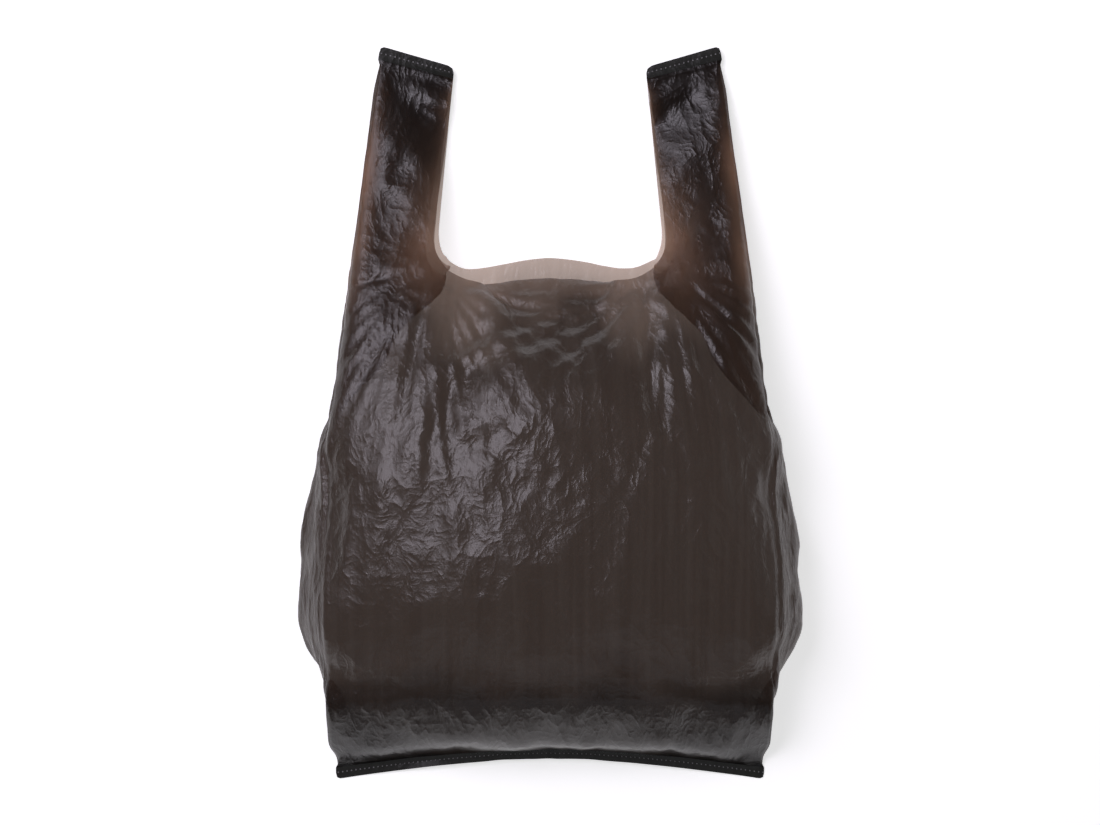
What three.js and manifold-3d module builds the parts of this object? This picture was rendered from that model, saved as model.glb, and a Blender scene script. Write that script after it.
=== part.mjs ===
// A vest-style carrier bag of thin plastic film, lying on its back with air in it.
//
// It is made as the real bag is: a tube of film with a gusset tucked into each side is welded
// flat across both ends, and a deep U is then stamped out of the top through all the layers.
// The U opens the mouth and leaves a handle on each side. A handle is two straps of two plies
// each, one in front and one behind, joined only by the weld at the top.
//
// Millimetres. +Z is up, away from the back panel that the bag lies on; +Y runs from the bottom
// weld to the handles. The origin is the middle of the footprint, on the surface it lies on.

import * as THREE from "three";
import { mergeVertices } from "three/addons/utils/BufferGeometryUtils.js";
import Module from "manifold-3d";

// The flat bag
const BAG_WIDTH = 300;
const BAG_LENGTH = 494;
const GUSSET_DEPTH = 75;
const BOTTOM_WELD = 8;
const TOP_WELD = 9;

// The film, drawn thick enough to be a solid, and the plies where they lie together
const FILM = 0.5;
const PLY_GAP = 0.6;
const STRAP = 2 * FILM + PLY_GAP;
const FOLD_GAP = 1;
const FLAT_STACK = 2 * STRAP + FOLD_GAP;

// The U that is stamped out for the mouth
const HANDLE_WIDTH = 50;
const HANDLE_FLARE = 6;
const MOUTH_DEPTH = 146;
const MOUTH_CORNER = 32;
const MOUTH_RISE = 6;
const DIE_TALL = 200;

// How the handles lean towards each other, from where the body starts to narrow
const LEAN_FROM = 225;
const LEAN_IN = 34;
const TOP_TILT = 12;

// How the air in it shapes the bag. Each list gives a height above the floor, or the reach of
// the gusset's fold from the middle, at some distances from the bottom end: [distance, value].
const MOUTH = BAG_LENGTH - MOUTH_DEPTH;
const TOP_LINE = BAG_LENGTH - TOP_WELD;
const FLAT_FOLD = BAG_WIDTH / 2 - GUSSET_DEPTH;
const FRONT_MIDDLE = [[BOTTOM_WELD, FLAT_STACK], [65, 96], [130, 118], [200, 110], [280, 90],
  [MOUTH, 62], [430, 26], [TOP_LINE, FLAT_STACK]];
const FRONT_CREASE = [[BOTTOM_WELD, FLAT_STACK], [65, 62], [120, 84], [200, 76], [280, 60],
  [MOUTH, 42], [430, 20], [TOP_LINE, FLAT_STACK]];
const GUSSET_FOLD = [[BOTTOM_WELD, FLAT_FOLD], [50, 140], [112, 168], [165, 165], [240, 150],
  [305, 112], [MOUTH, FLAT_FOLD], [TOP_LINE, FLAT_FOLD]];

// The gusset's fold is sharp in the body and opens out towards the mouth, so that each ply of
// it lies against its own strap in the handles
const FOLD_SHARP = 250;
const FOLD_OPEN = 340;

const STATIONS = 26;
const CROWN_STEPS = 5;

const HALF = BAG_WIDTH / 2;

// The value of such a list at y: a smooth curve through its entries, level beyond its ends.
function along(pairs, y) {
  const distances = pairs.map(([distance]) => distance);
  const values = pairs.map(([, value]) => value);
  return new THREE.CubicInterpolant(distances, values, 1).evaluate(y)[0];
}

// One side of the film's cross-section at y, from the middle of the front panel to the middle
// of the back panel: crowned front, front crease, gusset fold, back crease, flat back.
function halfSection(y) {
  const top = along(FRONT_MIDDLE, y);
  const crease = along(FRONT_CREASE, y);
  const fold = along(GUSSET_FOLD, y);
  const middle = crease / 2;
  const between = crease - 2 * STRAP;
  const opening = THREE.MathUtils.smoothstep(y, FOLD_SHARP, FOLD_OPEN);
  const halfGap = THREE.MathUtils.lerp(FOLD_GAP, between, opening) / 2;
  const points = [];
  for (let i = 0; i <= CROWN_STEPS; i++) {
    const share = i / CROWN_STEPS;
    const height = crease + (top - crease) * Math.cos((share * Math.PI) / 2);
    points.push(new THREE.Vector2(share * HALF, height));
  }
  points.push(new THREE.Vector2(HALF, crease - STRAP));
  points.push(new THREE.Vector2(fold, middle + halfGap));
  points.push(new THREE.Vector2(fold, middle - halfGap));
  points.push(new THREE.Vector2(HALF, STRAP));
  points.push(new THREE.Vector2(HALF, 0));
  points.push(new THREE.Vector2(0, 0));
  return points;
}

// The closed ring of the whole section, front middle first.
function ringAt(y) {
  const right = halfSection(y);
  const left = right.slice(1, -1).reverse().map((p) => new THREE.Vector2(-p.x, p.y));
  return [...right, ...left];
}

// The ring moved inwards by the film's thickness, corner by corner.
function innerRing(ring) {
  return ring.map((here, i) => {
    const before = ring.at(i - 1);
    const after = ring[(i + 1) % ring.length];
    const arriving = here.clone().sub(before).normalize();
    const leaving = after.clone().sub(here).normalize();
    const inward = new THREE.Vector2(arriving.y, -arriving.x);
    const turn = new THREE.Vector2(leaving.y, -leaving.x).add(inward).normalize();
    return here.clone().addScaledVector(turn, FILM / turn.dot(inward));
  });
}

// A solid skinned over one ring for each station, with flat ends.
function loft(rings, stations) {
  const count = rings[0].length;
  const position = rings.flatMap((ring, s) => ring.flatMap((p) => [p.x, stations[s], p.y]));
  const index = [];
  for (let s = 0; s < rings.length - 1; s++) {
    for (let i = 0; i < count; i++) {
      const a = s * count + i;
      const b = s * count + ((i + 1) % count);
      index.push(a, b, a + count, b, b + count, a + count);
    }
  }
  const last = (rings.length - 1) * count;
  for (const [a, b, c] of THREE.ShapeUtils.triangulateShape(rings[0], [])) {
    index.push(a, b, c);
  }
  for (const [a, b, c] of THREE.ShapeUtils.triangulateShape(rings.at(-1), [])) {
    index.push(last + a, last + c, last + b);
  }
  return new THREE.BufferGeometry()
    .setAttribute("position", new THREE.Float32BufferAttribute(position, 3))
    .setIndex(index);
}

// Evenly spaced stations between two weld lines, with any further ones at the ends.
function stationsBetween(from, to, ends) {
  const even = Array.from({ length: STATIONS + 1 }, (_, i) =>
    THREE.MathUtils.lerp(from, to, i / STATIONS));
  return ends ? [0, ...even, BAG_LENGTH] : even;
}

function tubeOfFilm() {
  const low = BOTTOM_WELD;
  const high = TOP_LINE;
  const outside = stationsBetween(low, high, true);
  const inside = stationsBetween(low, high, false);
  return {
    skin: loft(outside.map(ringAt), outside),
    room: loft(inside.map((y) => innerRing(ringAt(y))), inside),
  };
}

// A weld right across the tube, through every ply.
function weld(from, height) {
  const bar = new THREE.BoxGeometry(BAG_WIDTH, height, FLAT_STACK);
  return bar.translate(0, from + height / 2, FLAT_STACK / 2);
}

// The die that stamps out the mouth, standing along Z.
function mouthDie() {
  const top = BAG_LENGTH + BOTTOM_WELD;
  const floor = MOUTH;
  const wide = HALF - HANDLE_WIDTH;
  const narrow = wide - HANDLE_FLARE;
  const die = new THREE.Shape();
  die.moveTo(-wide, top);
  die.lineTo(-narrow, floor + MOUTH_CORNER);
  die.quadraticCurveTo(-narrow, floor, -narrow + MOUTH_CORNER, floor);
  die.bezierCurveTo(-narrow / 3, floor, -narrow / 3, floor + MOUTH_RISE, 0, floor + MOUTH_RISE);
  die.bezierCurveTo(narrow / 3, floor + MOUTH_RISE, narrow / 3, floor, narrow - MOUTH_CORNER, floor);
  die.quadraticCurveTo(narrow, floor, narrow, floor + MOUTH_CORNER);
  die.lineTo(wide, top);
  die.closePath();
  const depth = { depth: DIE_TALL, bevelEnabled: false, curveSegments: 6 };
  const solid = new THREE.ExtrudeGeometry(die, depth);
  return solid.translate(0, 0, -DIE_TALL / 2);
}

// Draws the handles in towards each other and tips their tops, as when they are held together.
function leanHandles(geometry) {
  const place = geometry.getAttribute("position");
  for (let i = 0; i < place.count; i++) {
    const x = place.getX(i);
    const y = place.getY(i);
    const share = Math.max(0, (y - LEAN_FROM) / (BAG_LENGTH - LEAN_FROM));
    const side = THREE.MathUtils.clamp(x / (HALF - GUSSET_DEPTH), -1, 1);
    const fromMiddle = Math.abs(x) - (HALF - HANDLE_WIDTH / 2);
    place.setX(i, x - side * LEAN_IN * share);
    place.setY(i, y + (fromMiddle / HANDLE_WIDTH) * TOP_TILT * share ** 3 * Math.abs(side));
  }
  return geometry;
}

const wasm = await Module();
wasm.setup();

function solidOf(geometry) {
  const bare = geometry.clone();
  bare.deleteAttribute("normal");
  bare.deleteAttribute("uv");
  const merged = mergeVertices(bare, 1e-4);
  return new wasm.Manifold(new wasm.Mesh({
    numProp: 3,
    vertProperties: merged.getAttribute("position").array,
    triVerts: new Uint32Array(merged.index.array),
  }));
}

function geometryOf(solid) {
  const mesh = solid.getMesh();
  return new THREE.BufferGeometry()
    .setAttribute("position", new THREE.BufferAttribute(mesh.vertProperties, 3))
    .setIndex(new THREE.BufferAttribute(mesh.triVerts, 1));
}

function carrierBag() {
  const tube = tubeOfFilm();
  const welded = solidOf(tube.skin)
    .add(solidOf(weld(0, BOTTOM_WELD)))
    .add(solidOf(weld(TOP_LINE, TOP_WELD)))
    .subtract(solidOf(tube.room));
  const stamped = welded.subtract(solidOf(mouthDie()));
  const geometry = leanHandles(geometryOf(stamped));
  geometry.computeBoundingBox();
  const { min, max } = geometry.boundingBox;
  geometry.translate(0, -(min.y + max.y) / 2, 0);
  geometry.computeVertexNormals();
  const film = new THREE.MeshStandardMaterial({
    color: 0x2b2524,
    roughness: 0.3,
    metalness: 0,
    transparent: true,
    opacity: 0.75,
    side: THREE.DoubleSide,
  });
  const bag = new THREE.Mesh(geometry, film);
  bag.name = "carrier_bag";
  return bag;
}

const part = new THREE.Group();
part.add(carrierBag());

export default part;
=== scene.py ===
"""A T-shirt carrier bag of thin, see-through black film, puffed with a little air and lying down.

The film is cut and folded as a real bag is. It starts as a flat sheet the size of the opened-out
tube, the mouth is cut out of it, and it is folded round into a tube with a gusset in each side.
The ends are welded, and a cloth simulation lets air and weight give it its creases.
"""

import math

import bmesh
import bpy
from bpy.props import (
    FloatProperty,
    FloatVectorProperty,
    IntProperty,
    PointerProperty,
)
from mathutils import Matrix, Vector, kdtree, noise
from mathutils.geometry import interpolate_bezier


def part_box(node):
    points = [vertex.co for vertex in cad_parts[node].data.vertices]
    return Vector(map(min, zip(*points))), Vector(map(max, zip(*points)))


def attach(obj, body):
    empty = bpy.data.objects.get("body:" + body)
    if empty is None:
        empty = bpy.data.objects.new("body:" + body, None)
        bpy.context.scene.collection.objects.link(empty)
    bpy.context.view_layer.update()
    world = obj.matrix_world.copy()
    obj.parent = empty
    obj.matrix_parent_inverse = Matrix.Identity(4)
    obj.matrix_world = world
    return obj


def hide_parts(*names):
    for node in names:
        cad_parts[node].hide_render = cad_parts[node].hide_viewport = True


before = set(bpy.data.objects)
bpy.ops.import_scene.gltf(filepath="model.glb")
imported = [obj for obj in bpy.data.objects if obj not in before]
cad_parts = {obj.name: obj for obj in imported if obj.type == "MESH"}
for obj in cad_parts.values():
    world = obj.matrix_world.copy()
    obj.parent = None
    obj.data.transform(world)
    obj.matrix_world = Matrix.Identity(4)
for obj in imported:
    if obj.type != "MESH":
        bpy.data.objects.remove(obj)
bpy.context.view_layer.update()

bl_info = {
    "name": "Film Carrier Bag",
    "version": (1, 0, 0),
    "blender": (4, 5, 0),
    "location": "View3D > Sidebar > Carrier Bag",
    "description": "A gusseted film bag, cut flat, welded and puffed with air",
    "category": "Add Mesh",
}

NODE = "carrier_bag"
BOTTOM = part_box(NODE)[0][1]

# The plies of the flat bag, from the table up.
BACK, BACK_GUSSET, FRONT_GUSSET, FRONT = range(4)

# The shape that the simulation starts from: heights above the floor, and the reach of the
# gusset's fold from the middle, in metres, at some distances from the bottom weld.
START_MIDDLE = ((0.008, 0.0), (0.060, 0.060), (0.130, 0.090), (0.240, 0.080), (0.348, 0.045),
                (0.430, 0.020), (0.485, 0.004))
START_CREASE = ((0.008, 0.0), (0.060, 0.040), (0.115, 0.065), (0.230, 0.055), (0.348, 0.030),
                (0.430, 0.015), (0.485, 0.004))
START_FOLD = ((0.008, 0.075), (0.045, 0.135), (0.108, 0.166), (0.160, 0.164), (0.235, 0.150),
              (0.300, 0.112), (0.348, 0.080), (0.485, 0.075))

# How far apart the plies start, and the distance from a weld within which they come together.
PLY_LIFT = 0.0015
LIFT_WITHIN = 0.02

# Distances over which the cut's offset in the front, and the bow of the bottom, fade out.
OFFSET_FADES = 0.06
BOW_FADES = 0.15
BOTTOM_EDGE = 0.02

# How far the painted light reaches in from the mouth, from the mouth's edge beside a handle, from
# the mouth's corners and from a handle's creases, and how high the band of painted shade at the
# bottom is.
# The film is made clearer there to stand for light let in through the mouth, and denser in the band.
MOUTH_PAINTED_LIGHT = 0.062
HANDLE_PAINTED_LIGHT = 0.014
CORNER_PAINTED_LIGHT = 0.028
CREASE_PAINTED_LIGHT = 0.014
PAINTED_SHADE_BAND = 0.075

# Crinkles are calm near the welds and creases, and the pressed ridge is a few millimetres wide.
CALM_WITHIN = 0.02
RIDGE_WIDTH = 0.003

# Layers of bump: repeats per metre across and along the film, detail, and share of the height.
CRINKLE_LAYERS = (((95, 60), 2, 1.0), ((230, 180), 2, 0.45), ((560, 470), 1, 0.12))

FILM_SPECULAR = 0.55
WELD_SPECULAR = 0.12
SHUT_AT_A_SLANT = 0.97
# Extra share of the translucent glow where the painted light is, so that those parts glow more.
GLOW_WHERE_PAINTED_LIGHT = 0.18
DOT_COLOUR = (0.20, 0.19, 0.20, 1)

CAMERA_HEIGHT = 2.25


class BagCut(bpy.types.PropertyGroup):
    """The film as it is cut, folded flat and welded"""

    face_width: FloatProperty(
        name="Face width", description="Width of the flat bag",
        default=0.300, subtype="DISTANCE", unit="LENGTH")
    gusset_depth: FloatProperty(
        name="Gusset depth", description="How far each side is tucked in",
        default=0.075, subtype="DISTANCE", unit="LENGTH")
    length: FloatProperty(
        name="Length", description="Of the film, from the bottom edge to the handle tops",
        default=0.502, subtype="DISTANCE", unit="LENGTH")
    laid_length: FloatProperty(
        name="Laid length", description="From end to end when the bag lies with air in it",
        default=0.494, subtype="DISTANCE", unit="LENGTH")
    bottom_weld: FloatProperty(
        name="Bottom weld", description="Height of the weld across the bottom",
        default=0.008, subtype="DISTANCE", unit="LENGTH")
    top_weld: FloatProperty(
        name="Top weld", description="Height of the weld across each handle",
        default=0.009, subtype="DISTANCE", unit="LENGTH")
    handle_width: FloatProperty(
        name="Handle width", description="Width of a handle at its top",
        default=0.050, subtype="DISTANCE", unit="LENGTH")
    handle_flare: FloatProperty(
        name="Handle flare", description="How much wider a handle is at the mouth",
        default=0.006, subtype="DISTANCE", unit="LENGTH")
    mouth_depth: FloatProperty(
        name="Mouth depth", description="From the handle tops down to the mouth",
        default=0.146, subtype="DISTANCE", unit="LENGTH")
    mouth_corner: FloatProperty(
        name="Mouth corner", description="Reach of the round corners of the mouth",
        default=0.032, subtype="DISTANCE", unit="LENGTH")
    mouth_rise: FloatProperty(
        name="Mouth rise", description="How far the middle of the mouth stands up",
        default=0.006, subtype="DISTANCE", unit="LENGTH")
    front_lower: FloatProperty(
        name="Front lower", description="How much lower the front panel's edge of the mouth is",
        default=0.005, subtype="DISTANCE", unit="LENGTH")
    front_wider: FloatProperty(
        name="Front wider", description="How much wider the mouth is cut in the front panel",
        default=0.003, subtype="DISTANCE", unit="LENGTH")
    lean_from: FloatProperty(
        name="Lean from", description="Where the bag starts to narrow towards the handles",
        default=0.225, subtype="DISTANCE", unit="LENGTH")
    lean_in: FloatProperty(
        name="Lean in", description="How far each handle top is drawn to the middle",
        default=0.034, subtype="DISTANCE", unit="LENGTH")
    top_tilt: FloatProperty(
        name="Top tilt", description="Rise of a handle's top from its inner to its outer edge",
        default=0.0145, subtype="DISTANCE", unit="LENGTH")
    bottom_in: FloatProperty(
        name="Bottom in", description="How far the bottom corners are drawn to the middle",
        default=0.004, subtype="DISTANCE", unit="LENGTH")
    bottom_bow: FloatProperty(
        name="Bottom bow", description="How far the middle of the bottom weld is drawn up",
        default=0.012, subtype="DISTANCE", unit="LENGTH")
    cells: IntProperty(
        name="Cells", description="Mesh cells across one ply of the gusset",
        default=14, min=4, max=20)

    @property
    def half(self):
        return self.face_width / 2

    @property
    def girth(self):
        return 2 * self.face_width + 4 * self.gusset_depth


class BagAir(bpy.types.PropertyGroup):
    """What the film is put through before it comes to rest"""

    pressure: FloatProperty(
        name="Air", description="Pressure of the air in the body of the bag",
        default=2.5, min=0.0)
    on_panels: FloatProperty(
        name="On panels", description="Share of the pressure that pushes on the wide panels",
        default=0.75, min=0.0, max=1.0, subtype="FACTOR")
    held_corner: FloatProperty(
        name="Held corner", description="How much of each end of the bottom weld is held down",
        default=0.020, subtype="DISTANCE", unit="LENGTH")
    full_below: FloatProperty(
        name="Full below", description="The air pushes with its whole pressure below this",
        default=0.20, subtype="DISTANCE", unit="LENGTH")
    none_above: FloatProperty(
        name="None above", description="The air doesn't push above this",
        default=0.33, subtype="DISTANCE", unit="LENGTH")
    pull: FloatVectorProperty(
        name="Pull", description="Pull of its weight while the bag hangs and is laid down",
        default=(0.0, -1.5, -3.0), subtype="ACCELERATION", unit="ACCELERATION")
    leaning: FloatProperty(
        name="Leaning", description="Share of the handles' lean that is there from the start",
        default=0.8, min=0.0, max=1.0, subtype="FACTOR")
    bending: FloatProperty(
        name="Bending", description="Stiffness of the film against bending", default=0.1, min=0.0)
    frames: IntProperty(
        name="Frames", description="Steps of the simulation", default=70, min=1)


class BagCreases(bpy.types.PropertyGroup):
    """Folds and crinkles that are added to the simulated film"""

    folds: FloatProperty(
        name="Folds", description="Height of the folds that run from the mouth's corners",
        default=0.0032, subtype="DISTANCE", unit="LENGTH")
    fold_count: FloatProperty(
        name="Fold count", description="How many folds fan out of a corner in half a turn",
        default=24.0, min=1.0)
    fold_reach: FloatProperty(
        name="Fold reach", description="How far the folds run before they fade",
        default=0.20, subtype="DISTANCE", unit="LENGTH")
    ridge: FloatProperty(
        name="Ridge", description="Height of the ridge along the pressed creases",
        default=0.0014, subtype="DISTANCE", unit="LENGTH")
    crinkle: FloatProperty(
        name="Crinkle", description="Height of the crinkles",
        default=0.0006, subtype="DISTANCE", unit="LENGTH")


class FilmLook(bpy.types.PropertyGroup):
    """Colour and surface of the film"""

    colour: FloatVectorProperty(
        name="Colour", description="Pigment of the film",
        default=(0.009, 0.006, 0.005), size=3, min=0.0, max=1.0, subtype="COLOR")
    glow: FloatVectorProperty(
        name="Glow", description="Colour of the light that the film scatters from behind",
        default=(0.76, 0.47, 0.33), size=3, min=0.0, max=1.0, subtype="COLOR")
    glow_share: FloatProperty(
        name="Glow share", description="Share of the film's look that glows from behind",
        default=0.11, min=0.0, max=1.0, subtype="FACTOR")
    bump: FloatProperty(
        name="Bump", description="Height of the finest crinkles",
        default=0.00026, subtype="DISTANCE", unit="LENGTH")
    clearness: FloatProperty(
        name="Clearness", description="Share of light that goes straight through one ply",
        default=0.155, min=0.0, max=1.0, subtype="FACTOR")
    # Painted light: how much clearer the film is made where the painted light is, near the mouth.
    painted_light_gain: FloatProperty(
        name="Thin gain", description="How much clearer the film is at the edge of the mouth",
        default=0.25, min=0.0, max=1.0, subtype="FACTOR")
    weld_clearness: FloatProperty(
        name="Weld clearness", description="Share of light that goes through a weld",
        default=0.02, min=0.0, max=1.0, subtype="FACTOR")
    roughness: FloatProperty(
        name="Roughness", description="Roughness of the film",
        default=0.28, min=0.0, max=1.0, subtype="FACTOR")


class StageLook(bpy.types.PropertyGroup):
    """Floor and lights"""

    floor_colour: FloatVectorProperty(
        name="Floor", description="Colour of the floor",
        default=(0.90, 0.90, 0.90), size=3, min=0.0, max=1.0, subtype="COLOR")
    floor_glow: FloatProperty(
        name="Floor glow", description="Light that the floor gives of itself",
        default=0.66, min=0.0)
    sky: FloatProperty(
        name="Sky", description="Strength of the light from all round", default=0.08, min=0.0)
    softbox: FloatProperty(
        name="Softbox", description="Brightness of the large softbox on the left",
        default=3.5, min=0.0)
    side: FloatProperty(
        name="Side", description="Brightness of the low light on the right",
        default=0.15, min=0.0)
    low: FloatProperty(
        name="Low", description="Brightness of the cool panel below the bag's bottom end",
        default=0.25, min=0.0)


def between(pairs, at):
    """The value at a distance along one of the start shape's lists, eased between entries."""
    if at <= pairs[0][0]:
        return pairs[0][1]
    for (near, low), (far, high) in zip(pairs, pairs[1:]):
        if at <= far:
            share = (at - near) / (far - near)
            return low + (high - low) * share * share * (3 - 2 * share)
    return pairs[-1][1]


def on_flat_bag(cut, u):
    """The ply of a point u round the tube from the middle of the back, and its x on the flat bag."""
    side = 1 if u <= cut.girth / 2 else -1
    way = min(u, cut.girth - u)
    half, gusset = cut.half, cut.gusset_depth
    if way <= half:
        return BACK, side * way
    if way <= half + gusset:
        return BACK_GUSSET, side * (2 * half - way)
    if way <= half + 2 * gusset:
        return FRONT_GUSSET, side * (way - 2 * gusset)
    return FRONT, side * (2 * half + 2 * gusset - way)


def round_tube(cut, ply, x, was):
    """How far round the tube a point of the flat bag is, on the same side as a point nearby."""
    half, gusset = cut.half, cut.gusset_depth
    way = {
        BACK: abs(x),
        BACK_GUSSET: 2 * half - abs(x),
        FRONT_GUSSET: 2 * gusset + abs(x),
        FRONT: 2 * half + 2 * gusset - abs(x),
    }[ply]
    return way if was <= cut.girth / 2 else cut.girth - way


def mouth_outline(cut):
    """The right half of the cut, from the middle of the mouth up to the top of the handle."""
    wide = cut.half - cut.handle_width
    narrow = wide - cut.handle_flare
    floor = cut.length - cut.mouth_depth
    corner = cut.mouth_corner
    middle = Vector((0, floor + cut.mouth_rise))
    low = Vector((narrow - corner, floor))
    point = Vector((narrow, floor))
    side = Vector((narrow, floor + corner))
    top = Vector((wide, cut.length + corner))
    reach = Vector((narrow / 3, 0))
    lip = interpolate_bezier(middle, middle + reach, low - reach * 0.5, low, 80)
    bend = interpolate_bezier(low, low.lerp(point, 2 / 3), side.lerp(point, 2 / 3), side, 60)
    edge = [side.lerp(top, i / 300) for i in range(301)]
    return [Vector(p).to_2d() for p in lip + bend[1:] + edge[1:]]


def in_mouth(outline, x, y):
    """Whether a point of the flat bag is in what the die takes away."""
    ring = [*outline, Vector((0, outline[-1].y))]
    inside = False
    for a, b in zip(ring, ring[1:] + ring[:1]):
        if (a.y > y) != (b.y > y) and abs(x) < a.x + (y - a.y) * (b.x - a.x) / (b.y - a.y):
            inside = not inside
    return inside


def front_offset(cut, ply, y):
    """How much wider and lower the mouth is in a ply of the front half of the bag."""
    below_weld = (cut.length - cut.top_weld - y) / OFFSET_FADES
    share = min(1, max(0, below_weld)) if ply in (FRONT_GUSSET, FRONT) else 0
    return cut.front_wider * share, cut.front_lower * share


def cut_mouth(bm, cut):
    """Takes the mouth out of the opened-out sheet and draws the cut edge on to its outline."""
    outline = mouth_outline(cut)
    gone = []
    for face in bm.faces:
        middle = face.calc_center_median()
        ply, x = on_flat_bag(cut, middle.x)
        wider, lower = front_offset(cut, ply, middle.y)
        if in_mouth(outline, max(0, abs(x) - wider), middle.y + lower):
            gone.append(face)
    bmesh.ops.delete(bm, geom=gone, context="FACES")
    tree = kdtree.KDTree(len(outline))
    for i, point in enumerate(outline):
        tree.insert(point.to_3d(), i)
    tree.balance()
    step = cut.gusset_depth / cut.cells
    for vert in bm.verts:
        ply, x = on_flat_bag(cut, vert.co.x)
        wider, lower = front_offset(cut, ply, vert.co.y)
        near, _, away = tree.find((abs(x) - wider, vert.co.y + lower, 0))
        if vert.is_boundary and away < 1.2 * step and cut.bottom_weld < vert.co.y:
            top = vert.co.y > cut.length - cut.top_weld - step / 2
            across = near.x + wider if abs(x) > wider else abs(x)
            vert.co.x = round_tube(cut, ply, across, vert.co.x)
            vert.co.y = vert.co.y if top else near.y - lower
    rim = [edge for edge in bm.edges if edge.is_boundary]
    bmesh.ops.dissolve_degenerate(bm, dist=step / 5, edges=rim)


def add_welds(bm, cut):
    """Runs the front panel on past the body's ends: one thick strip stands for all the plies."""
    ends = ((cut.bottom_weld, -cut.bottom_weld), (cut.length - cut.top_weld, cut.top_weld))
    for line, height in ends:
        edges = []
        for edge in bm.edges:
            on_line = all(abs(vert.co.y - line) < 1e-5 for vert in edge.verts)
            u = (edge.verts[0].co.x + edge.verts[1].co.x) / 2
            if on_line and on_flat_bag(cut, u)[0] == FRONT:
                edges.append(edge)
        made = bmesh.ops.extrude_edge_only(bm, edges=edges)["geom"]
        verts = [part for part in made if isinstance(part, bmesh.types.BMVert)]
        bmesh.ops.translate(bm, verts=verts, vec=(0, height, 0))
        for part in made:
            if isinstance(part, bmesh.types.BMFace):
                part.material_index = 1


def puffed(cut, ply, x, y):
    """Where a point of the flat bag is when the simulation starts."""
    half = cut.half
    top = between(START_MIDDLE, y)
    crease = between(START_CREASE, y)
    tucked = (half - abs(x)) / cut.gusset_depth
    reach = abs(x)
    if ply in (BACK_GUSSET, FRONT_GUSSET):
        reach = half + (between(START_FOLD, y) - half) * tucked
    height = {
        BACK: 0,
        BACK_GUSSET: crease / 2 * tucked,
        FRONT_GUSSET: crease - crease / 2 * tucked,
        FRONT: crease + (top - crease) * math.cos(abs(x) / half * math.pi / 2),
    }[ply]
    inside = min(y - cut.bottom_weld, cut.length - cut.top_weld - y)
    height += ply * PLY_LIFT * min(1, max(0, inside / LIFT_WITHIN))
    bow = cut.bottom_bow * (1 - (x / half) ** 2) * max(0, 1 - y / BOW_FADES)
    laid = y * cut.laid_length / cut.length + bow
    return Vector((math.copysign(reach, x), BOTTOM + laid, height))


def drawn_in(cut, place, share):
    """The same point when the handle tops are drawn together and tipped, all the way or partly."""
    reach = abs(place.x)
    y = place.y - BOTTOM
    along = max(0, (y - cut.lean_from) / (cut.laid_length - cut.lean_from))
    drawn = min(1, reach / (cut.half - cut.gusset_depth))
    tilt = (reach - cut.half + cut.handle_width / 2) / cut.handle_width
    inwards = drawn * cut.lean_in * along * share
    upwards = tilt * cut.top_tilt * along**3 * drawn * share
    if y < BOTTOM_EDGE:
        inwards += cut.bottom_in * reach / cut.half * share
    return Vector((place.x - math.copysign(inwards, place.x), place.y + upwards, place.z))


def put_in_order(bm):
    """Orders the edges and faces by their vertices, so that every run simulates them alike."""
    bm.verts.index_update()
    count = len(bm.verts)

    def place_in_list(part):
        place = 0
        for index in sorted(vert.index for vert in part.verts)[:3]:
            place = place * count + index
        return place

    bm.edges.sort(key=place_in_list)
    bm.faces.sort(key=place_in_list)


def folded_film(cut):
    """The cut film folded into a tube and welded, and where each vertex is on the flat bag."""
    bm = bmesh.new()
    body = cut.length - cut.bottom_weld - cut.top_weld
    columns = round(cut.girth / cut.gusset_depth) * cut.cells
    rows = round(body / cut.gusset_depth * cut.cells)
    middle = Vector((cut.girth / 2, cut.bottom_weld + body / 2, 0))
    place = Matrix.Translation(middle) @ Matrix.Diagonal((cut.girth, body, 1, 1))
    bmesh.ops.create_grid(bm, x_segments=columns, y_segments=rows, size=0.5, matrix=place)
    cut_mouth(bm, cut)
    add_welds(bm, cut)
    area = sum(face.calc_area() for face in bm.faces)
    uv = bm.loops.layers.uv.new("film")
    for face in bm.faces:
        for loop in face.loops:
            loop[uv].uv = loop.vert.co.xy
    flat = bm.verts.layers.float_vector.new("flat")
    joined = []
    for vert in bm.verts:
        ply, x = on_flat_bag(cut, vert.co.x)
        y = vert.co.y
        welded = y < cut.bottom_weld + 1e-5 or y > cut.length - cut.top_weld - 1e-5
        if welded:
            ply = FRONT
        vert[flat] = (x, y, ply)
        seam = min(vert.co.x, cut.girth - vert.co.x) < 1e-5
        vert.co = puffed(cut, ply, x, y)
        if welded or seam:
            joined.append(vert)
    bmesh.ops.remove_doubles(bm, verts=joined, dist=1e-5)
    bmesh.ops.reverse_faces(bm, faces=bm.faces)
    put_in_order(bm)
    marks = [tuple(vert[flat]) for vert in bm.verts]
    mesh = bpy.data.meshes.new("bag_film")
    bm.to_mesh(mesh)
    bm.free()
    for edge in mesh.edges:
        edge.vertices = sorted(edge.vertices)
    return mesh, marks, area


def add_group(piece, name, weights):
    """A vertex group with one weight for each vertex of the piece."""
    group = piece.vertex_groups.new(name=name)
    for i, weight in enumerate(weights):
        group.add([i], weight, "REPLACE")
    return name


def floor_for_cloth():
    """A floor that the film settles on, just below zero by the gap that the cloth keeps."""
    mesh = bpy.data.meshes.new("cloth_floor")
    bm = bmesh.new()
    bmesh.ops.create_grid(bm, x_segments=1, y_segments=1, size=1)
    bmesh.ops.translate(bm, verts=bm.verts, vec=(0, 0, -0.003))
    bm.to_mesh(mesh)
    bm.free()
    floor = bpy.data.objects.new("cloth_floor", mesh)
    bpy.context.scene.collection.objects.link(floor)
    floor.modifiers.new("floor", "COLLISION")
    floor.collision.thickness_outer = 0.001
    floor.collision.cloth_friction = 2
    return floor


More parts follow.
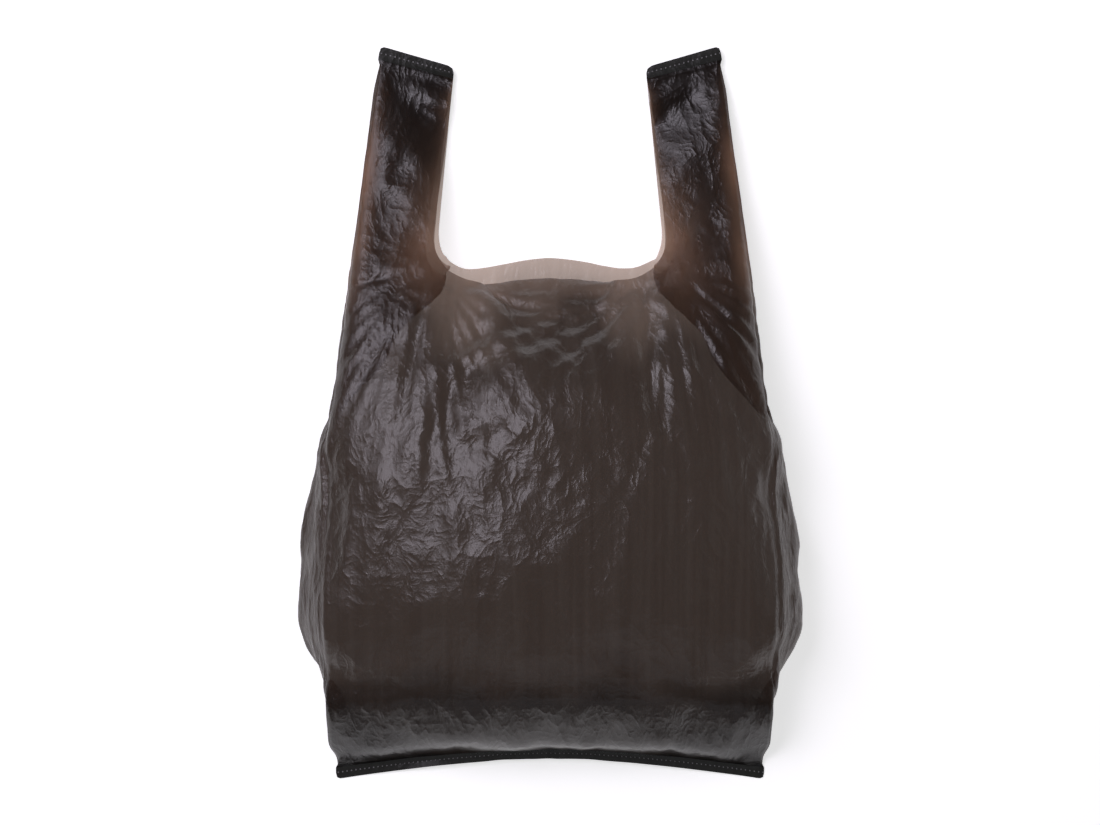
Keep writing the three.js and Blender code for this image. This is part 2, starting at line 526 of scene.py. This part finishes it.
def let_settle(piece, cut, air, marks):
    """Lets air and weight shape the film, held by its handle tops, and keeps the result."""
    scene = bpy.context.scene
    basis = piece.shape_key_add(name="start")
    for point in basis.data:
        point.co = drawn_in(cut, point.co, air.leaning)
    lengths = piece.shape_key_add(name="cut")
    lengths.value = 0
    for point, (x, y, ply) in zip(lengths.data, marks):
        point.co = (x, BOTTOM + y, ply * 1e-5)
    lean = piece.shape_key_add(name="lean")
    for point in lean.data:
        point.co = drawn_in(cut, point.co, 1 - air.leaning)
    lean.value = 0
    lean.keyframe_insert("value", frame=1)
    lean.value = 1
    lean.keyframe_insert("value", frame=air.frames // 2)
    held, blown = [], []
    span = air.none_above - air.full_below
    for x, y, ply in marks:
        handle_top = y > cut.length - cut.top_weld - 1e-5
        bottom_corner = y < cut.bottom_weld + 1e-5 and abs(x) > cut.half - air.held_corner
        held.append(float(handle_top or bottom_corner))
        share = 1 if round(ply) in (BACK_GUSSET, FRONT_GUSSET) else air.on_panels
        blown.append(share * min(1, max(0, (air.none_above - y) / span)))
    cloth = piece.modifiers.new("cloth", "CLOTH")
    film = cloth.settings
    film.quality = 6
    film.mass = 0.005
    film.air_damping = 2
    film.tension_stiffness = film.compression_stiffness = film.shear_stiffness = 25
    film.tension_damping = film.compression_damping = film.shear_damping = 8
    film.bending_model = "ANGULAR"
    film.bending_stiffness = air.bending
    film.vertex_group_mass = add_group(piece, "held", held)
    film.rest_shape_key = lengths
    film.use_pressure = True
    film.uniform_pressure_force = air.pressure
    film.vertex_group_pressure = add_group(piece, "blown", blown)
    cloth.collision_settings.distance_min = 0.002
    cloth.point_cache.frame_end = air.frames
    floor = floor_for_cloth()
    gravity, last = scene.gravity.copy(), scene.frame_end
    scene.gravity = air.pull
    scene.frame_end = air.frames
    for step in range(1, air.frames + 1):
        scene.frame_set(step)
    settled = bpy.data.meshes.new_from_object(
        piece.evaluated_get(bpy.context.evaluated_depsgraph_get()))
    scene.frame_set(1)
    scene.gravity, scene.frame_end = gravity, last
    bpy.data.objects.remove(floor)
    piece.modifiers.clear()
    piece.shape_key_clear()
    piece.vertex_groups.clear()
    piece.data = settled


def crease_height(cut, crease, u, y):
    """How far a point of the film is lifted by the folds and crinkles that are finer than cloth."""
    ply, x = on_flat_bag(cut, u)
    corner = Vector((cut.half - cut.handle_width - cut.handle_flare, cut.length - cut.mouth_depth))
    folds = 0
    for side, seed in ((-1, 3.7), (1, 8.1)):
        away = Vector((x * side, y)) - corner
        turn = math.atan2(away.x, -away.y) * crease.fold_count / math.pi
        fan = 1 - 2 * abs(noise.noise(Vector((turn, away.length * 7, seed + ply))))
        near = min(1, away.length / 0.05) * math.exp(-away.length / crease.fold_reach)
        folds += fan * near * min(1, max(0, 0.5 - away.y / 0.04))
    drape = 1 - 2 * abs(noise.noise(Vector((u * 21 + y * 4, y * 3.5, 2))))
    sway = noise.noise_vector(Vector((u * 20, y * 14, 6))) * 0.5
    across = Vector((u * 62 + y * 26, y * 34 - u * 14, 5)) + sway
    crinkle = 1 - 2 * abs(noise.noise(across))
    cross = 1 - 2 * abs(noise.noise(Vector((u * 95 - y * 60, y * 70 + u * 30, 9)) + sway))
    return (crease.folds * (folds + 0.6 * drape)
            + crease.crinkle * (crinkle + 0.5 * cross))


def from_crease(cut, u):
    """The way from a point round the tube to the nearest crease where it was pressed flat."""
    way = min(u, cut.girth - u)
    return min(abs(way - cut.half), abs(way - cut.half - 2 * cut.gusset_depth))


def mark_painted_light(mesh, cut, where):
    """Marks painted light, where the film is made clearer and lets more light through near the
    mouth, its corners and the creases, and a band of painted shade at the bottom, where it is made
    denser.
    """
    outline = mouth_outline(cut)
    tree = kdtree.KDTree(len(outline))
    for i, point in enumerate(outline):
        tree.insert(point.to_3d(), i)
    tree.balance()
    lip = cut.length - cut.mouth_depth
    corner = cut.half - cut.handle_width + 0.004
    painted_light = mesh.attributes.new("painted_light", "FLOAT", "POINT")
    for value, (u, y) in zip(painted_light.data, where):
        _, x = on_flat_bag(cut, u % cut.girth)
        near, _, away = tree.find((abs(x), y, 0))
        # Painted light: the film is made clearer near the mouth, at its corners and along the
        # creases, where light comes in.
        beside = min(1, max(0, (near.y - lip) / cut.mouth_corner))
        patchy = 1 + noise.noise(Vector((x * 22, y * 22, 4)))
        reach = (MOUTH_PAINTED_LIGHT + (HANDLE_PAINTED_LIGHT - MOUTH_PAINTED_LIGHT) * beside) * patchy
        mouth_light = (1 - 0.6 * beside) * max(0, 1 - away / reach)
        from_lit_corner = Vector((abs(x), y / 2)) - Vector((corner, lip / 2 + 0.012))
        corner_light = 0.9 * max(0, 1 - from_lit_corner.length / CORNER_PAINTED_LIGHT)
        along = min(1, max(0, 1.6 - abs(y - lip - 0.045) / 0.06))
        edge = max(0, 1 - from_crease(cut, u) / CREASE_PAINTED_LIGHT)
        crease_light = 1.3 * edge * along * (1 + noise.noise(Vector((u * 9, y * 25, 3))))
        # Painted shade: the film is made denser in a band along the bottom, so that less light comes
        # through it.
        shade_band_top = PAINTED_SHADE_BAND + 0.02 * noise.noise(Vector((u * 30, y * 30, 7)))
        bottom_shade = 0.35 * min(1, max(0, (shade_band_top - y) / 0.02))
        value.value = mouth_light + corner_light + crease_light - bottom_shade


def crinkle_film(piece, cut, crease):
    """Subdivides the film and adds the folds and crinkles that follow the blown film's grain."""
    smooth = piece.modifiers.new("smooth", "SUBSURF")
    smooth.levels = smooth.render_levels = 1
    mesh = bpy.data.meshes.new_from_object(
        piece.evaluated_get(bpy.context.evaluated_depsgraph_get()))
    piece.modifiers.clear()
    piece.data = mesh
    where = [None] * len(mesh.vertices)
    for loop, uv in zip(mesh.loops, mesh.uv_layers["film"].uv):
        where[loop.vertex_index] = uv.vector
    normals = [vert.normal.copy() for vert in mesh.vertices]
    for vert, normal, (u, y) in zip(mesh.vertices, normals, where):
        ends = min(y - cut.bottom_weld, cut.length - cut.top_weld - y)
        calm = min(1, max(0.1, ends / CALM_WITHIN))
        away = from_crease(cut, u)
        lift = crease_height(cut, crease, u % cut.girth, y) * min(1, 0.3 + away / CALM_WITHIN)
        lift += crease.ridge * math.exp(-away / RIDGE_WIDTH)
        vert.co += normal * calm * lift
        vert.co.z = max(vert.co.z, 0)
    mesh.update()
    # Painted light and shade, kept on the mesh for the film's material.
    mark_painted_light(mesh, cut, where)


def grain_and_painted_light_group():
    """Streaks along the blown film and the height of its crinkles, both from the film's UV map, and
    the painted light and shade kept on the mesh.
    """
    group = bpy.data.node_groups.new("film_grain_and_painted_light", "ShaderNodeTree")
    for name in ("Streak", "Painted light", "Crinkle"):
        group.interface.new_socket(name, in_out="OUTPUT", socket_type="NodeSocketFloat")
    nodes, links = group.nodes, group.links
    out = nodes.new("NodeGroupOutput")
    uv = nodes.new("ShaderNodeUVMap")
    uv.uv_map = "film"

    def noise_at(scale, detail, kind="FBM", source=uv.outputs["UV"]):
        grain = nodes.new("ShaderNodeMapping")
        grain.inputs["Scale"].default_value = (*scale, 1)
        links.new(source, grain.inputs["Vector"])
        texture = nodes.new("ShaderNodeTexNoise")
        texture.noise_type = kind
        texture.inputs["Scale"].default_value = 1
        texture.inputs["Detail"].default_value = detail
        links.new(grain.outputs["Vector"], texture.inputs["Vector"])
        return texture

    streaks = noise_at((230, 5), 3)
    links.new(streaks.outputs["Fac"], out.inputs["Streak"])
    # The painted light and shade kept on the mesh: film made clearer near the mouth, its corners and
    # the creases, and denser in a band at the bottom.
    painted_light = nodes.new("ShaderNodeAttribute")
    painted_light.attribute_name = "painted_light"
    links.new(painted_light.outputs["Fac"], out.inputs["Painted light"])

    bent = noise_at((45, 32), 2)
    bend = nodes.new("ShaderNodeVectorMath")
    bend.operation = "MULTIPLY_ADD"
    bend.inputs[1].default_value = (0.015, 0.015, 0)
    links.new(bent.outputs["Color"], bend.inputs[0])
    links.new(uv.outputs["UV"], bend.inputs[2])
    height = None
    for scale, detail, share in CRINKLE_LAYERS:
        ridges = noise_at(scale, detail, "RIDGED_MULTIFRACTAL", bend.outputs["Vector"])
        ridges.inputs["Offset"].default_value = 1
        ridges.inputs["Roughness"].default_value = 0.4
        add = nodes.new("ShaderNodeMath")
        add.operation = "MULTIPLY_ADD"
        add.inputs[1].default_value = share
        links.new(ridges.outputs["Fac"], add.inputs[0])
        if height:
            links.new(height, add.inputs[2])
        else:
            add.inputs[2].default_value = 0
        height = add.outputs["Value"]
    links.new(height, out.inputs["Crinkle"])
    return group


def weld_group(cut):
    """A row of small pressed dots along the middle of each weld."""
    group = bpy.data.node_groups.new("weld_dots", "ShaderNodeTree")
    for name, value in (("Pitch", 0.0031), ("Radius", 0.0005)):
        socket = group.interface.new_socket(name, in_out="INPUT", socket_type="NodeSocketFloat")
        socket.default_value = value
    group.interface.new_socket("Dot", in_out="OUTPUT", socket_type="NodeSocketFloat")
    nodes, links = group.nodes, group.links
    given = nodes.new("NodeGroupInput")
    out = nodes.new("NodeGroupOutput")
    uv = nodes.new("ShaderNodeUVMap")
    uv.uv_map = "film"
    apart = nodes.new("ShaderNodeSeparateXYZ")
    links.new(uv.outputs["UV"], apart.inputs["Vector"])

    def math_node(operation, first, second=None):
        node = nodes.new("ShaderNodeMath")
        node.operation = operation
        for socket, value in zip(node.inputs, (first, second)):
            if isinstance(value, (int, float)):
                socket.default_value = value
            elif value:
                links.new(value, socket)
        return node.outputs["Value"]

    pitch = given.outputs["Pitch"]
    along = math_node("PINGPONG", apart.outputs["X"], math_node("MULTIPLY", pitch, 0.5))
    row = cut.length / 2 - cut.top_weld / 2
    from_middle = math_node("ABSOLUTE", math_node("SUBTRACT", apart.outputs["Y"], cut.length / 2))
    across = math_node("SUBTRACT", from_middle, row)
    place = nodes.new("ShaderNodeCombineXYZ")
    links.new(along, place.inputs["X"])
    links.new(across, place.inputs["Y"])
    length = nodes.new("ShaderNodeVectorMath")
    length.operation = "LENGTH"
    links.new(place.outputs["Vector"], length.inputs[0])
    dot = math_node("LESS_THAN", length.outputs["Value"], given.outputs["Radius"])
    links.new(dot, out.inputs["Dot"])
    return group


def common_film(name, look, clearness):
    """A see-through Principled material whose bump and clearness follow the film's grain."""
    material = bpy.data.materials.new(name)
    material.use_nodes = True
    nodes, links = material.node_tree.nodes, material.node_tree.links
    grain = nodes.new("ShaderNodeGroup")
    grain.name = "grain"
    grain.node_tree = bpy.data.node_groups.get("film_grain_and_painted_light") or grain_and_painted_light_group()
    shader = nodes["Principled BSDF"]
    shader.inputs["Base Color"].default_value = (*look.colour, 1)
    shader.inputs["Roughness"].default_value = look.roughness
    shader.inputs["IOR"].default_value = 1.5
    shut = nodes.new("ShaderNodeMapRange")
    shut.name = "shut"
    shut.inputs["From Min"].default_value = 0.35
    shut.inputs["From Max"].default_value = 0.65
    shut.inputs["To Min"].default_value = 1 - clearness * 1.12
    shut.inputs["To Max"].default_value = 1 - clearness * 0.88
    links.new(grain.outputs["Streak"], shut.inputs["Value"])
    bump = nodes.new("ShaderNodeBump")
    bump.inputs["Strength"].default_value = 1
    bump.inputs["Distance"].default_value = look.bump
    links.new(grain.outputs["Crinkle"], bump.inputs["Height"])
    links.new(bump.outputs["Normal"], shader.inputs["Normal"])
    return material


def film_material(look):
    """Film that passes some light straight through and glows a little with light from behind."""
    material = common_film("black_film", look, look.clearness)
    nodes, links = material.node_tree.nodes, material.node_tree.links
    grain, shader = nodes["grain"], nodes["Principled BSDF"]
    shader.inputs["Specular IOR Level"].default_value = FILM_SPECULAR
    # Painted light: the film's clearness is raised where the mesh's painted light is, and lowered in
    # the painted shade band at the bottom.
    drawn = nodes.new("ShaderNodeMath")
    drawn.operation = "MULTIPLY_ADD"
    drawn.inputs[1].default_value = -look.painted_light_gain
    links.new(grain.outputs["Painted light"], drawn.inputs[0])
    links.new(nodes["shut"].outputs["Result"], drawn.inputs[2])
    slant = nodes.new("ShaderNodeLayerWeight")
    slant.inputs["Blend"].default_value = 0.3
    long_way = nodes.new("ShaderNodeMix")
    long_way.inputs["B"].default_value = SHUT_AT_A_SLANT
    links.new(slant.outputs["Facing"], long_way.inputs["Factor"])
    links.new(drawn.outputs["Value"], long_way.inputs["A"])
    links.new(long_way.outputs["Result"], shader.inputs["Alpha"])

    glow = nodes.new("ShaderNodeBsdfTranslucent")
    glow.inputs["Color"].default_value = (*look.glow, 1)
    # Painted light: the translucent glow's share grows where the mesh's painted light is.
    share = nodes.new("ShaderNodeMath")
    share.operation = "MULTIPLY_ADD"
    share.inputs[1].default_value = GLOW_WHERE_PAINTED_LIGHT
    share.inputs[2].default_value = look.glow_share
    links.new(grain.outputs["Painted light"], share.inputs[0])
    mix = nodes.new("ShaderNodeMixShader")
    links.new(share.outputs["Value"], mix.inputs["Fac"])
    links.new(shader.outputs["BSDF"], mix.inputs[1])
    links.new(glow.outputs["BSDF"], mix.inputs[2])
    links.new(mix.outputs["Shader"], nodes["Material Output"].inputs["Surface"])
    return material


def weld_material(look, cut):
    """Several plies of film melted into one, with a row of pressed dots."""
    material = common_film("welded_film", look, look.weld_clearness)
    nodes, links = material.node_tree.nodes, material.node_tree.links
    shader = nodes["Principled BSDF"]
    shader.inputs["Specular IOR Level"].default_value = WELD_SPECULAR
    links.new(nodes["shut"].outputs["Result"], shader.inputs["Alpha"])
    dots = nodes.new("ShaderNodeGroup")
    dots.node_tree = weld_group(cut)
    tone = nodes.new("ShaderNodeMix")
    tone.data_type = "RGBA"
    colours = [socket for socket in tone.inputs if socket.type == "RGBA"]
    colours[0].default_value = (*(value / 3 for value in look.colour), 1)
    colours[1].default_value = DOT_COLOUR
    links.new(dots.outputs["Dot"], tone.inputs["Factor"])
    result = [socket for socket in tone.outputs if socket.type == "RGBA"][0]
    links.new(result, shader.inputs["Base Color"])
    return material


class BAG_OT_film(bpy.types.Operator):
    """Cut, fold, weld and puff up the film bag"""

    bl_idname = "bag.film"
    bl_label = "Film bag"

    def execute(self, context):
        scene = context.scene
        cut, air, look = scene.bag_cut, scene.bag_air, scene.film_look
        mesh, marks, area = folded_film(cut)
        piece = bpy.data.objects.new("bag_film", mesh)
        scene.collection.objects.link(piece)
        mesh.materials.append(film_material(look))
        mesh.materials.append(weld_material(look, cut))
        let_settle(piece, cut, air, marks)
        crinkle_film(piece, cut, scene.bag_creases)
        piece.data.shade_smooth()
        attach(piece, "root")
        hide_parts(NODE)
        print("flat area of the film", round(area, 4), "m2")
        return {"FINISHED"}


def add_softbox(name, place, target, size, brightness, colour=(1, 1, 1)):
    """A soft light that shines on the target as brightly as a white surface in full light."""
    light = bpy.data.lights.new(name, "AREA")
    light.shape = "RECTANGLE"
    light.size, light.size_y = size
    light.energy = brightness * math.pi * size[0] * size[1]
    light.color = colour
    lamp = bpy.data.objects.new(name, light)
    lamp.location = place
    lamp.rotation_euler = (Vector(target) - Vector(place)).to_track_quat("-Z", "Y").to_euler()
    bpy.context.scene.collection.objects.link(lamp)
    return lamp


class BAG_OT_stage(bpy.types.Operator):
    """Set up the floor, the lights and the camera above the bag"""

    bl_idname = "bag.stage"
    bl_label = "Stage"

    def execute(self, context):
        scene = context.scene
        look = scene.stage_look
        mesh = bpy.data.meshes.new("floor")
        bm = bmesh.new()
        bmesh.ops.create_grid(bm, x_segments=1, y_segments=1, size=6)
        bmesh.ops.translate(bm, verts=bm.verts, vec=(0, 0, -0.0005))
        bm.to_mesh(mesh)
        bm.free()
        floor = bpy.data.objects.new("floor", mesh)
        scene.collection.objects.link(floor)
        paper = bpy.data.materials.new("pale_paper")
        paper.use_nodes = True
        shader = paper.node_tree.nodes["Principled BSDF"]
        shader.inputs["Base Color"].default_value = (*look.floor_colour, 1)
        shader.inputs["Roughness"].default_value = 0.9
        shader.inputs["Specular IOR Level"].default_value = 0.1
        shader.inputs["Emission Color"].default_value = (1, 1, 1, 1)
        shader.inputs["Emission Strength"].default_value = look.floor_glow
        mesh.materials.append(paper)

        world = bpy.data.worlds.new("studio")
        world.use_nodes = True
        world.node_tree.nodes["Background"].inputs["Color"].default_value = (1, 1, 1, 1)
        world.node_tree.nodes["Background"].inputs["Strength"].default_value = look.sky
        scene.world = world
        bag = (0, 0, 0.05)
        cool = (0.94, 0.88, 1.0)
        add_softbox("softbox", (-0.76, 0.62, 1.58), bag, (0.9, 1.0), look.softbox, cool)
        add_softbox("veil", (-1.30, 1.05, 1.70), bag, (1.9, 2.0), look.softbox * 0.5, cool)
        add_softbox("side", (1.9, 0.2, 0.8), bag, (1.0, 2.0), look.side)
        add_softbox("low", (0.1, -1.9, 1.0), bag, (2.2, 1.0), look.low, (0.78, 0.86, 1.0))

        lens = bpy.data.cameras.new("camera")
        lens.sensor_width = 36
        lens.lens = 108
        camera = bpy.data.objects.new("camera", lens)
        camera.location = (0, 0, CAMERA_HEIGHT)
        scene.collection.objects.link(camera)
        scene.camera = camera
        scene.view_settings.view_transform = "Standard"
        return {"FINISHED"}


class BAG_PT_panel(bpy.types.Panel):
    """Sizes, looks and makers of the film bag"""

    bl_idname = "BAG_PT_panel"
    bl_label = "Carrier Bag"
    bl_space_type = "VIEW_3D"
    bl_region_type = "UI"
    bl_category = "Carrier Bag"

    def draw(self, context):
        layout = self.layout
        for group in (getattr(context.scene, name) for name in GROUPS):
            box = layout.box()
            for name in group.bl_rna.properties.keys():
                if name not in {"rna_type", "name"}:
                    box.prop(group, name)
        layout.operator(BAG_OT_film.bl_idname)
        layout.operator(BAG_OT_stage.bl_idname)


CLASSES = (BagCut, BagAir, BagCreases, FilmLook, StageLook, BAG_OT_film, BAG_OT_stage, BAG_PT_panel)
GROUPS = {
    "bag_cut": BagCut,
    "bag_air": BagAir,
    "bag_creases": BagCreases,
    "film_look": FilmLook,
    "stage_look": StageLook,
}


def register():
    for cls in CLASSES:
        bpy.utils.register_class(cls)
    for name, group in GROUPS.items():
        setattr(bpy.types.Scene, name, PointerProperty(type=group))


def unregister():
    for name in GROUPS:
        delattr(bpy.types.Scene, name)
    for cls in reversed(CLASSES):
        bpy.utils.unregister_class(cls)


def main():
    register()
    bpy.ops.bag.stage()
    bpy.ops.bag.film()


if __name__ == "__main__":
    main()
